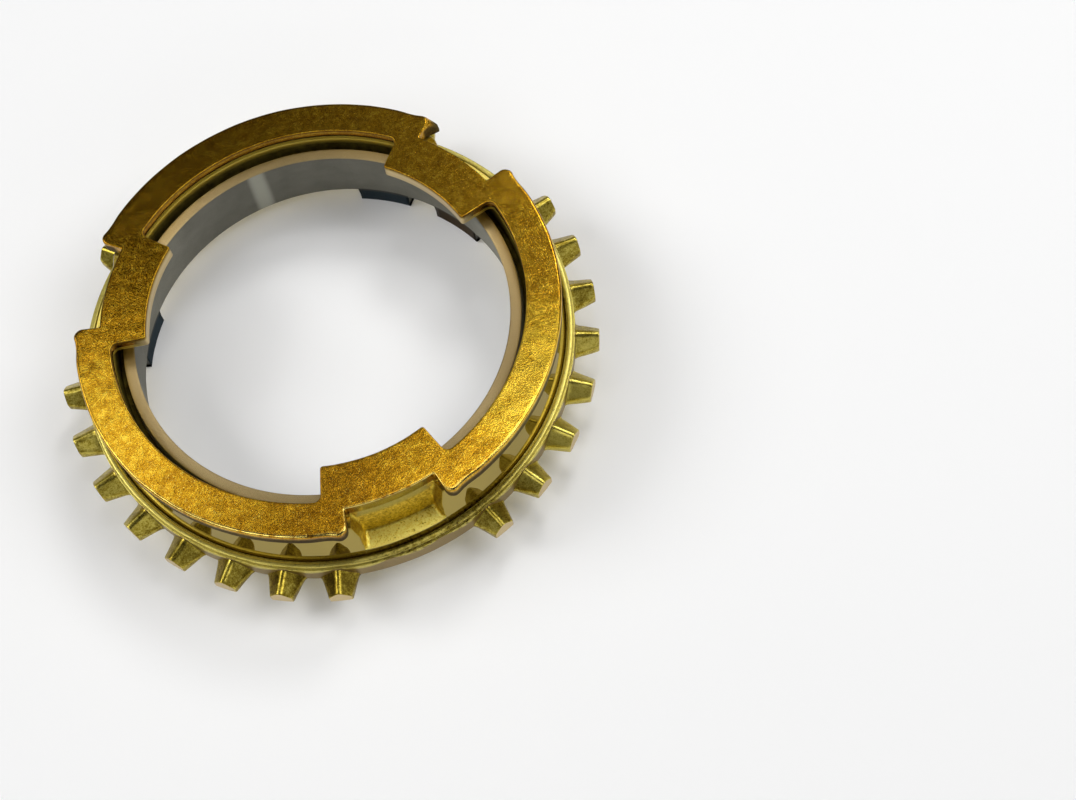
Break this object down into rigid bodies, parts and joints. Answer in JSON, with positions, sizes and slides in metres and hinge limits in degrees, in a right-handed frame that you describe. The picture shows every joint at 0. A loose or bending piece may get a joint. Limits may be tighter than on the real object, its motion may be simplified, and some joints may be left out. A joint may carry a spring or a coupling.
{
  "type": "synchronizer ring",
  "caption": "Brass synchronizer blocker ring with roofed teeth in groups, inward lugs, notches and key slots, seated on a tapered steel cone ring with tabs.",
  "frame": {"origin": "on the gearbox shaft's axis, level with the feet of the steel ring's tabs, on which the part stands", "axes": "+Z along the shaft's axis, from the gear side to the hub side; one lug and key slot of the brass ring point along -Y"},
  "size_m": [0.1196, 0.1175, 0.0263],
  "materials": {
    "forged_brass": "as forged, turned and trimmed in places",
    "ground_steel": "ground, with darkened tabs"
  },
  "bodies": {
    "root": {"blocker_ring": "forged_brass", "cone_ring": "ground_steel"}
  },
  "joints": []
}
